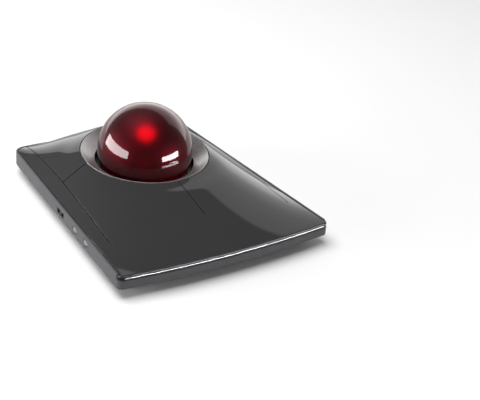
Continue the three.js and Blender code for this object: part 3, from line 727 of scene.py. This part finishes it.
# A cell in a wrapped foil sleeve: pale metal with darker bands from a bent wave.
def makeBatteryMaterial():
    material, tree, shader = startMaterial("batteryFinish")
    place = addNode(tree, "ShaderNodeTexCoord")
    wave = addNode(tree, "ShaderNodeTexWave", {
        "Scale": batteryLook["bandScale"], "Distortion": 1.5, "Detail": 2.0,
    })
    tone = addTones(tree, batteryLook["band"], batteryLook["foil"])
    grain = placeGroup(tree, grainGroup, {
        "Scale": batteryLook["grain"], "Depth": batteryLook["depth"],
    })
    setInputs(shader, {
        "Metallic": batteryLook["metallic"], "Roughness": batteryLook["roughness"],
    })
    link = tree.links.new
    link(place.outputs["Object"], wave.inputs["Vector"])
    link(wave.outputs["Fac"], tone.inputs[factorIn])
    link(tone.outputs[toneOut], shader.inputs["Base Color"])
    link(grain.outputs["Normal"], shader.inputs["Normal"])
    return material


labelLook = {
    "paper": (0.40, 0.40, 0.41, 1),
    "rule": (0.16, 0.16, 0.165, 1),
    "fieldScale": 48.0,
    "ruleWidth": 0.012,
    "grain": 2200.0,
    "depth": 0.08,
    "clean": 0.35,
    "dull": 0.55,
    "patches": 120.0,
}


# A blank rating label: satin film ruled into plain fields, with no lettering.
def makeLabelMaterial():
    material, tree, shader = startMaterial("labelFinish")
    place = addNode(tree, "ShaderNodeTexCoord")
    fields = addNode(tree, "ShaderNodeTexBrick", {
        "Scale": labelLook["fieldScale"], "Mortar Size": labelLook["ruleWidth"],
        "Mortar Smooth": 0.0, "Color1": labelLook["paper"], "Color2": labelLook["paper"],
        "Mortar": labelLook["rule"],
    })
    grain = placeGroup(tree, grainGroup, {
        "Scale": labelLook["grain"], "Depth": labelLook["depth"],
    })
    smudge = placeGroup(tree, smudgeGroup, {
        "Clean": labelLook["clean"], "Dull": labelLook["dull"], "Scale": labelLook["patches"],
    })
    link = tree.links.new
    link(place.outputs["Object"], fields.inputs["Vector"])
    link(fields.outputs["Color"], shader.inputs["Base Color"])
    link(smudge.outputs["Roughness"], shader.inputs["Roughness"])
    link(grain.outputs["Normal"], shader.inputs["Normal"])
    return material


materials["ring"] = makeRingMaterial()
materials["resin"] = makeResinMaterial()
materials["glow"] = makePaintedGlowMaterial()
materials["board"] = makeBoardMaterial()
materials["battery"] = makeBatteryMaterial()
materials["label"] = makeLabelMaterial()
print("materials made")

# Glossy top: the cover with its rails and palm, and the four buttons

panel = {
    "seamRound": 0.07,  # radius of the edges along the seams
    "frontRound": 0.7,  # radius of the front's upper edge
    "sideRound": 0.6,  # radius of the upper edge along the sides and the rear
    "frontFade": 3.0,  # the front's radius turns into the sides' over this length
    "seamFade": 1.5,  # the rail seam's rounding dies out over this length
    "wearWidth": 0.9,
    "nose": 2.4,  # depth of the block behind the front edge
    "noseStep": 0.06,  # width of the drop behind that block
    "noseGap": 0.3,  # clearance over the bright strip
    "bowEnd": 6.0,  # the rows stop following the bowed front this far before the hinge
    "hingeLap": 0.3,  # the lower buttons begin this far before the hinge line
    "sharp": 40,  # degrees
}
panelGrid = {
    "lip": (0.0, 0.06, 0.16, 0.3, 0.5, 0.8, 1.2),  # distances of the first lines from an edge
    "frontRows": (0, 0.03, 0.1, 0.22, 0.4, 0.62, 0.9, 1.25, 1.7),  # distances from the front
    "palmRows": 44,  # from the nose to the hinge line
    "railRows": 84,  # from there to the rear corners
    "railEnd": 10,  # those rows end this far before the rear
    "rearRows": 26,  # round the rear corners
    "rowGap": 0.2,  # least distance between the last two kinds of rows
    "middleColumns": 72,  # between the seams
    "railColumns": 12,  # inside a rail's lips
    "leastRail": 0.1,  # least width of a rail inside its lips
    "sideColumns": 46,  # a button's lines to its rail seam
    "endColumns": 40,  # and to its hinge or rear edge
    "buttonRows": 42,
    "openingPoints": 90,  # of a button's arc along the ring
    "cornerPoints": 24,  # of each corner of the plan
    "sidePoints": 60,  # of each side of the plan
}
lipSteps = np.array(panelGrid["lip"])
lipWidth = lipSteps[-1]
noseBottom = span("front_strip")[1][2] + panel["noseGap"]
noseEnd = frontY + panel["nose"]
stepEnd = noseEnd + panel["noseStep"]
hingeY = lowerLow[1]
hingeCut = hingeY - panel["hingeLap"]
crossLow, crossHigh = lowerHigh[1], upperLow[1]
ringCut = housing["ringRadius"] + housing["seam"]


# The plan's outline drawn in by an inset: right side, left side, then the bowed front, with the
# corners' points at squares of even steps.
def planLine(inset):
    corner, side = panelGrid["cornerPoints"], panelGrid["sidePoints"]
    front = frontY + (np.linspace(0, 1, corner) ** 2) * housing["frontCorner"]
    rear = rearY - inset - (np.linspace(1, 0, corner) ** 2) * housing["rearCorner"]
    y = np.concatenate([front, np.linspace(front[-1], rear[0], side)[1:-1], rear])
    half = outlineHalf(y, inset)
    right = np.stack([half, y], 1)
    left = np.stack([-half, y], 1)[::-1]
    x = np.linspace(-half[0], half[0], side)[1:]
    bowed = np.stack([x, frontY - bowAt(x)], 1)
    return np.concatenate([right, left, bowed])


# Distances over a length: the lip's steps, even ones between, and the lip's steps mirrored.
def packedSteps(length, count):
    return np.concatenate([
        np.tile(lipSteps, (len(length), 1)),
        lipWidth + (length - 2 * lipWidth) * np.linspace(0, 1, count)[None, 1:-1],
        length - lipSteps[::-1][None, :],
    ], 1)


# Rows of the cover: close together at both ends, at the nose's back and at the hinge line.
def coverRows():
    front = frontY + np.array([*panelGrid["frontRows"], panel["nose"]])
    palm = np.linspace(front[-1] + panel["noseStep"], hingeCut, panelGrid["palmRows"])
    rails = np.linspace(hingeCut, rearY - panelGrid["railEnd"], panelGrid["railRows"])[1:]
    corner = housing["rearCorner"] - housing["rim"]
    rear = rearY - housing["rim"] - corner * np.linspace(1, 0, panelGrid["rearRows"]) ** 2
    rails = rails[rails < rear[0] - panelGrid["rowGap"]]
    return np.concatenate([front, palm, rails, rear])


# The cover's columns in each row: the right rail from its seam to the outline in packed steps,
# even ones between the seams, and the right rail mirrored.
def coverColumns(y, onNose):
    outer = np.where(onNose, outlineHalf(y, 0.0), outlineHalf(y, housing["rim"]))
    seam = halfWidth(y) - housing["rail"] + housing["seam"] / 2
    seam = np.minimum(seam, outer - 2 * lipWidth - panelGrid["leastRail"])[:, None]
    rail = seam + packedSteps(outer[:, None] - seam, panelGrid["railColumns"])
    middle = seam * np.linspace(-1, 1, panelGrid["middleColumns"])[None, 1:-1]
    return np.concatenate([-rail[:, ::-1], middle, rail], 1), seam, rail.shape[1]


# The rows carried forwards by the bow: y = row - bow, in full on the nose, then less and less
# of it, and none from a little before the hinge.
def bowedRows(x, row):
    straightY = hingeY - panel["bowEnd"]
    share = np.clip((straightY - row) / (straightY - frontY), 0, 1)
    return row - bowAt(x) * np.where(row <= stepEnd + tiny, 1, share)


# Height of the cover's top and its wear: the glossy top less the drop of the rounded outer edge
# and, behind the hinge, less that of the seam. Wear falls evenly from 1 at an edge to 0.
def coverTop(x, y, row, seam, onNose):
    rimDistance = lineDistance(x, y, planLine(housing["rim"]))
    fromEdge = np.where(onNose[:, None], lineDistance(x, y, planLine(0.0)), rimDistance)
    atFront = np.clip(1 - (row - noseEnd) / panel["frontFade"], 0, 1)
    radius = panel["sideRound"] + (panel["frontRound"] - panel["sideRound"]) * atFront
    fromSeam = np.abs(np.abs(x) - seam)
    seamShare = np.clip((row - hingeY) / panel["seamFade"], 0, 1)
    z = topZ(x, y) - edgeDrop(fromEdge, radius)
    z = z - edgeDrop(fromSeam, panel["seamRound"]) * seamShare
    nearest = np.minimum(fromEdge, np.where(seamShare > 0, fromSeam, fromEdge))
    return z, np.clip(1 - nearest / panel["wearWidth"], 0, 1)


# The cover is one panel with its middle left out behind the hinge, where the buttons are. Its
# underside is flat under the nose and follows the top elsewhere.
def makeCover():
    rowY = coverRows()
    onNose = rowY <= noseEnd + tiny
    x, seam, railCount = coverColumns(rowY, onNose)
    row = np.repeat(rowY[:, None], x.shape[1], 1)
    y = bowedRows(x, row)
    z, worn = coverTop(x, y, row, seam, onNose)
    under = np.where(onNose[:, None], noseBottom, topZ(x, y) - housing["thick"])
    keep = np.ones((x.shape[0] - 1, x.shape[1] - 1), dtype=bool)
    keep[rowY[:-1] > hingeCut - tiny, railCount - 1:x.shape[1] - railCount] = False
    points, faces, wear = closedPanel(np.stack([x, y, z], -1), np.stack([x, y, under], -1),
                                      worn, keep)
    cover = finishMesh("topCover", points, faces, materials["gloss"], panel["sharp"], wear)
    return settle(cover, "housing", "gloss", "top_cover")


# Points of the round opening for the ring, at angles from the right.
def onOpening(angle):
    return np.stack([ringCut * np.cos(angle), ballCentre[1] + ringCut * np.sin(angle)], 1)


# A button's plan: where it starts at the cross seam, its outer corner, where it ends at the
# middle seam, and the opening's angles at those two seams.
def buttonPlan(upper):
    gap = housing["seam"] / 2
    rail = housing["rail"] + gap
    startY, endY = (crossHigh, rearY - housing["rim"]) if upper else (crossLow, hingeCut)
    start = np.array([halfWidth(startY) - rail, startY])
    corner = np.array([halfWidth(endY) - rail, endY])
    end = np.array([gap, endY])
    crossAngle = math.asin((startY - ballCentre[1]) / ringCut)
    seamAngle = (1 if upper else -1) * math.acos(gap / ringCut)
    return start, corner, end, crossAngle, seamAngle


# Shares along the line start, corner, end and their points, packed at the ends and the corner.
def outerLine(start, corner, end):
    sideLength = np.linalg.norm(corner - start)
    whole = sideLength + np.linalg.norm(end - corner)
    lip, turn = lipSteps / whole, sideLength / whole
    sideShares = np.linspace(lip[-1], turn - lip[-1], panelGrid["sideColumns"])[1:-1]
    endShares = np.linspace(turn + lip[-1], 1 - lip[-1], panelGrid["endColumns"])[1:-1]
    share = np.concatenate([
        lip, sideShares, turn - lip[::-1], turn + lip[1:], endShares, 1 - lip[::-1],
    ])
    onSide = share <= turn
    t = np.where(onSide, share / turn, (share - turn) / (1 - turn))[:, None]
    alongSide, alongEnd = start + t * (corner - start), corner + t * (end - corner)
    return share, np.where(onSide[:, None], alongSide, alongEnd)


# The opening's points for those shares, bent so that true distances pack alike at both ends.
def innerLine(share, crossAngle, seamAngle):
    ends = len(lipSteps)
    arcLip = lipSteps / (ringCut * abs(seamAngle - crossAngle))
    bent = np.interp(share, [0, share[ends - 1], share[-ends], 1],
                     [0, arcLip[-1], 1 - arcLip[-1], 1])
    bent[:ends], bent[-ends:] = arcLip, 1 - arcLip[::-1]
    return onOpening(crossAngle + bent * (seamAngle - crossAngle))


# One button as a ruled surface: lines run from the ring's opening to the button's outer line,
# point = inner + share (outer - inner), with the shares packed close at both ends.
def makeButton(name, node, body, side, upper):
    start, corner, end, crossAngle, seamAngle = buttonPlan(upper)
    share, outer = outerLine(start, corner, end)
    inner = innerLine(share, crossAngle, seamAngle)
    length = np.linalg.norm(outer - inner, axis=1)[:, None]
    steps = packedSteps(length, panelGrid["buttonRows"]) / length
    x = inner[:, :1] + steps * (outer[:, :1] - inner[:, :1])
    y = inner[:, 1:] + steps * (outer[:, 1:] - inner[:, 1:])
    # all edges are rounded but the lower buttons' hinge, where they run on from the palm
    opening = onOpening(np.linspace(crossAngle, seamAngle, panelGrid["openingPoints"]))
    rounded = [end[None], opening[::-1], start[None], corner[None]]
    fromEdge = lineDistance(x, y, np.concatenate(rounded + [end[None]] * upper))
    z = topZ(x, y) - edgeDrop(fromEdge, panel["seamRound"])
    worn = np.clip(1 - fromEdge / panel["wearWidth"], 0, 1)
    top = np.stack([x * side, y, z], -1)
    under = np.stack([x * side, y, topZ(x, y) - housing["thick"]], -1)
    if (side < 0) == upper:
        top, under, worn = top[::-1], under[::-1], worn[::-1]
    points, faces, wear = closedPanel(top, under, worn)
    button = finishMesh(name, points, faces, materials["gloss"], panel["sharp"], wear)
    mergeFaces(button, panel["sharp"])
    return settle(button, body, "gloss", node)


makeCover()
for word, side in (("left", -1), ("right", 1)):
    tail = word.capitalize()
    makeButton("buttonLower" + tail, "button_lower_" + word, "lower_" + word, side, False)
    makeButton("buttonUpper" + tail, "button_upper_" + word, "upper_" + word, side, True)
print("cover and buttons made")

# Ring, ball and the painted glow inside it

ringShape = {
    "seatRadius": 28.6,
    "seatDrop": 6.1,  # the cone's inner edge under the ball's centre
    "lip": 0.5,
    "sag": 0.35,  # the cone is a little hollow
    "collarDrop": 7.5,  # the underside, as far under the ball's centre
    "collarRadius": 31.0,
    "shoulderDrop": 3.5,
    "shoulderInset": 0.4,
    "wallDrop": 2.1,  # the collar's wall begins this far under the ball's centre
    "lipPoints": 7,
    "conePoints": 24,
    "segments": 192,
    "sharp": 40,  # degrees
}


# The ring's profile: rounded outer lip, a cone that sags by sag sin(pi s), rounded inner lip,
# and a collar back to the outside.
def ringProfile():
    outer, drop = housing["ringRadius"], housing["ringDrop"]
    inner, low, lip = ringShape["seatRadius"], ringShape["seatDrop"], ringShape["lip"]
    turn = np.linspace(0, np.pi / 2, ringShape["lipPoints"])
    outLip = np.stack([outer - lip + lip * np.cos(turn), -drop - lip + lip * np.sin(turn)], 1)
    s = np.linspace(0, 1, ringShape["conePoints"])[1:]
    cone = np.stack([
        (outer - lip) + (inner + lip - outer + lip) * s,
        -drop + (drop - low) * s - ringShape["sag"] * np.sin(np.pi * s),
    ], 1)
    inLip = np.stack([inner + lip - lip * np.sin(turn), -low - lip + lip * np.cos(turn)], 1)[1:]
    collar = np.array([
        [inner, -ringShape["collarDrop"]],
        [ringShape["collarRadius"], -ringShape["collarDrop"]],
        [outer - ringShape["shoulderInset"], -ringShape["shoulderDrop"]],
        [outer, -ringShape["wallDrop"]],
    ])
    return np.concatenate([outLip, cone, inLip, collar])


# The profile turned about the ball's centre line and leaned with the socket.
def makeRing():
    points, faces = turnedMesh(ringProfile()[::-1], ringShape["segments"], True)
    sharp = ringShape["sharp"]
    ring = finishMesh("socketRing", ontoSocket(points), faces, materials["ring"], sharp)
    mergeFaces(ring, sharp)
    return settle(ring, "housing", "ring", "socket_ring")


ballShape = {
    "segments": 160,
    "glowRadius": 3.6,
    "glowSquash": 0.8,
    "glowRise": 7.4,  # the painted glow's centre over the ball's
    "glowSegments": 48,
    "sharp": 60,  # degrees
}


# A ball about a centre: the half circle (r sin a, squash r cos a) turned about Z.
def makeSphere(name, radius, centre, count, material, squash=1.0):
    polar = np.linspace(0, np.pi, count // 2 + 1)
    profile = np.stack([radius * np.sin(polar), radius * squash * np.cos(polar)], 1)
    points, faces = turnedMesh(profile, count, False)
    sphere = finishMesh(name, points + centre, faces, material, ballShape["sharp"])
    mergeFaces(sphere, ballShape["sharp"])
    return sphere


# The ball is one solid piece on the body that rolls. Its painted glow, an emissive heart standing
# in for light gathered in the resin, only lifts, and doesn't roll.
def makeBall():
    rolling = makeSphere("rollingBall", ballRadius, ballCentre, ballShape["segments"],
                         materials["resin"])
    settle(rolling, "ball_free", "resin", "ball", "ball_middle", "ball_inner")
    # painted light: an emissive heart above the ball's centre, standing in for gathered light
    centre = ballCentre + np.array([0, 0, ballShape["glowRise"]])
    glow = makeSphere("ballGlow", ballShape["glowRadius"], centre, ballShape["glowSegments"],
                      materials["glow"], ballShape["glowSquash"])
    settle(glow, "ball_lift", "resin", "ball_core")


makeRing()
makeBall()
print("ring and ball made")

# The other pieces keep their shape and get softened edges

softening = {
    "width": 0.12,  # millimetres, where softWidths names no other
    "segments": 2,
    "bevelAngle": 50,  # degrees, as the next two
    "flatAngle": 1.0,
    "sharpAngle": 38,
    "mergeReach": 2e-6,  # metres
}
softWidths = {
    "lower_case": 0.3, "socket_cup": 0.15, "main_board": 0.08, "battery": 0.6,
    "switch_board_left": 0.08, "switch_board_right": 0.08, "usb_board": 0.08, "usb_inlet": 0.08,
    "mode_slider": 0.2, "mode_switch_body": 0.15, "pair_button": 0.3, "speed_button": 0.3,
    "pair_tact_switch": 0.15, "speed_tact_switch": 0.15, "front_strip": 0.3,
    "foot_front_left": 0.2, "foot_front_right": 0.2, "foot_rear_left": 0.2, "foot_rear_right": 0.2,
    "rating_label": 0.03,
}


# A node's name in camel case.
def plainName(node):
    first, *rest = node.split("_")
    return first + "".join(word.capitalize() for word in rest)


# Merges the loose triangles and joins those that lie in one plane.
def cleanedMesh(source, name):
    mesh = source.data.copy()
    mesh.name = name
    work = bmesh.new()
    work.from_mesh(mesh)
    bmesh.ops.remove_doubles(work, verts=work.verts, dist=softening["mergeReach"])
    bmesh.ops.dissolve_limit(work, angle_limit=math.radians(softening["flatAngle"]),
                             verts=work.verts, edges=work.edges)
    bmesh.ops.recalc_face_normals(work, faces=work.faces)
    work.to_mesh(mesh)
    work.free()
    return mesh


# A node's copy on the same body, with every edge over an angle bevelled.
def softenedCopy(node, slotName):
    source = frame["nodes"][node]
    mesh = cleanedMesh(source, plainName(node))
    mesh.materials.clear()
    mesh.materials.append(materials[slotName])
    smoothMesh(mesh, softening["sharpAngle"])
    piece = bpy.data.objects.new(plainName(node), mesh)
    scene.collection.objects.link(piece)
    bevel = piece.modifiers.new("softEdges", "BEVEL")
    bevel.width = softWidths.get(node, softening["width"]) * mm
    bevel.segments = softening["segments"]
    bevel.limit_method = "ANGLE"
    bevel.angle_limit = math.radians(softening["bevelAngle"])
    bevel.harden_normals = True
    return settle(piece, source["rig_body"], slotName, node)


replacedNodes = {name for piece in scene.objects for name in piece.get("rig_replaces", [])}
for part in frame["record"]["subparts"]:
    if part["node"] not in replacedNodes:
        softenedCopy(part["node"], part["material_slot"])
print("softened pieces made")

# Floor, lights and surroundings

studio = {
    "floorSize": 8.0,  # metres
    "floorTone": (0.86, 0.86, 0.86, 1),
    "floorRough": 0.9,
    "backdropTurn": 30.0,  # middle of the bright backdrop, degrees round from straight ahead
    "backdropHalf": 60.0,  # its half width in degrees
    "backdropTop": (-0.65, -0.285, 0.705),  # normal of its upper edge's plane, pointing out of it
    "edgeSoft": 0.012,
    "gain": 2.6,  # radiance of the ramp's white
    "dark": 0.09,  # radiance all round the backdrop
}
# the backdrop's radiance by the sine of the height: (sine, share of the gain)
backdropSteps = ((-1.0, 0.30), (-0.02, 0.34), (0.0, 1.0), (0.2, 0.90), (0.34, 0.54), (0.5, 0.38),
                 (0.7, 0.33))
# each soft light: turn round the ball and height in degrees, distance, width and height in
# metres, radiance, and whether shiny surfaces mirror it
softLights = {
    "leftSoftbox": (-74.0, 5.0, 1.0, 1.45, 0.34, 11.0, True),
    "rightSoftbox": (148.0, -1.0, 1.0, 0.80, 0.20, 22.0, True),
    "overheadSoftbox": (-60.0, 74.0, 1.3, 1.2, 1.2, 4.9, False),
}


# A white square on the desk's level that shiny surfaces don't mirror.
def makeFloor():
    half = studio["floorSize"] / 2
    mesh = bpy.data.meshes.new("studioFloor")
    corners = [(-half, -half, 0), (half, -half, 0), (half, half, 0), (-half, half, 0)]
    mesh.from_pydata(corners, [], [(0, 1, 2, 3)])
    material, _, shader = startMaterial("floorFinish")
    setInputs(shader, {"Base Color": studio["floorTone"], "Roughness": studio["floorRough"]})
    mesh.materials.append(material)
    floor = bpy.data.objects.new("studioFloor", mesh)
    scene.collection.objects.link(floor)
    floor.visible_glossy = False


# Each light stands at ball + distance (sin turn cos height, cos turn cos height, sin height) and
# faces the ball. Its power is radiance pi width height.
def makeLights():
    ball = Vector(ballCentre * mm)
    for name, (turn, height, reach, width, depth, radiance, mirrored) in softLights.items():
        turn, height = math.radians(turn), math.radians(height)
        way = Vector((
            math.sin(turn) * math.cos(height),
            math.cos(turn) * math.cos(height),
            math.sin(height),
        ))
        data = bpy.data.lights.new(name, "AREA")
        data.shape = "RECTANGLE"
        data.size, data.size_y = width, depth
        data.energy = radiance * math.pi * width * depth
        lamp = bpy.data.objects.new(name, data)
        lamp.location = ball + way * reach
        lamp.rotation_euler = way.to_track_quat("Z", "Y").to_euler()
        lamp.visible_camera = False
        lamp.visible_glossy = mirrored
        scene.collection.objects.link(lamp)


# 1 inside the backdrop and 0 outside: its sides lie where the level direction is half a width
# from the middle, and its top is a plane through the object, both with soft edges.
def backdropWindow(tree, direction):
    turn = math.radians(studio["backdropTurn"])
    limit, soft = math.cos(math.radians(studio["backdropHalf"])), studio["edgeSoft"]
    flat = addNode(tree, "ShaderNodeVectorMath", {1: (1, 1, 0)}, operation="MULTIPLY")
    level = addNode(tree, "ShaderNodeVectorMath", operation="NORMALIZE")
    facing = addNode(tree, "ShaderNodeVectorMath", {1: (math.sin(turn), math.cos(turn), 0)},
                     operation="DOT_PRODUCT")
    window = addNode(tree, "ShaderNodeMapRange", {
        "From Min": limit - soft, "From Max": limit + soft,
    }, interpolation_type="SMOOTHSTEP")
    over = addNode(tree, "ShaderNodeVectorMath", {1: studio["backdropTop"]},
                   operation="DOT_PRODUCT")
    under = addNode(tree, "ShaderNodeMapRange", {
        "From Min": soft, "From Max": -soft,
    }, interpolation_type="SMOOTHSTEP")
    inside = addNode(tree, "ShaderNodeMath", operation="MULTIPLY")
    link = tree.links.new
    link(direction, flat.inputs[0])
    link(flat.outputs[0], level.inputs[0])
    link(level.outputs[0], facing.inputs[0])
    link(facing.outputs["Value"], window.inputs["Value"])
    link(direction, over.inputs[0])
    link(over.outputs["Value"], under.inputs["Value"])
    link(window.outputs["Result"], inside.inputs[0])
    link(under.outputs["Result"], inside.inputs[1])
    return inside.outputs[0]


# The backdrop's radiance: the ramp of its steps by the sine of the height, times the gain.
def backdropRadiance(tree, direction):
    split = addNode(tree, "ShaderNodeSeparateXYZ")
    sine = addNode(tree, "ShaderNodeMapRange", {"From Min": -1.0, "From Max": 1.0})
    ramp = addNode(tree, "ShaderNodeValToRGB")
    steps = ramp.color_ramp.elements
    while len(steps) < len(backdropSteps):
        steps.new(0.5)  # anywhere, since its place is set below
    for step, (position, share) in zip(steps, backdropSteps):
        step.position = (position + 1) / 2
        step.color = (share, share, share, 1)
    gain = addNode(tree, "ShaderNodeMath", {1: studio["gain"]}, operation="MULTIPLY")
    link = tree.links.new
    link(direction, split.inputs[0])
    link(split.outputs["Z"], sine.inputs["Value"])
    link(sine.outputs["Result"], ramp.inputs["Fac"])
    link(ramp.outputs["Color"], gain.inputs[0])
    return gain.outputs[0]


# Surroundings: white to the camera. To everything else a bright backdrop behind the object,
# brighter low down, and dark round the rest.
def makeWorld():
    world = bpy.data.worlds.new("studioWorld")
    world.use_nodes = True
    scene.world = world
    tree = world.node_tree
    tree.nodes.clear()
    place = addNode(tree, "ShaderNodeTexCoord")
    mix = addNode(tree, "ShaderNodeMix", {valueIn: studio["dark"]}, data_type="FLOAT")
    surround = addNode(tree, "ShaderNodeBackground")
    plain = addNode(tree, "ShaderNodeBackground", {"Color": (1, 1, 1, 1), "Strength": 1.0})
    path = addNode(tree, "ShaderNodeLightPath")
    choose = addNode(tree, "ShaderNodeMixShader")
    out = addNode(tree, "ShaderNodeOutputWorld")
    link = tree.links.new
    link(backdropWindow(tree, place.outputs["Generated"]), mix.inputs[factorIn])
    link(backdropRadiance(tree, place.outputs["Generated"]), mix.inputs[otherValueIn])
    link(mix.outputs[valueOut], surround.inputs["Strength"])
    link(path.outputs["Is Camera Ray"], choose.inputs[0])
    link(surround.outputs[0], choose.inputs[1])
    link(plain.outputs[0], choose.inputs[2])
    link(choose.outputs[0], out.inputs["Surface"])


makeFloor()
makeLights()
makeWorld()
scene.view_settings.view_transform = "Standard"
print("studio made")
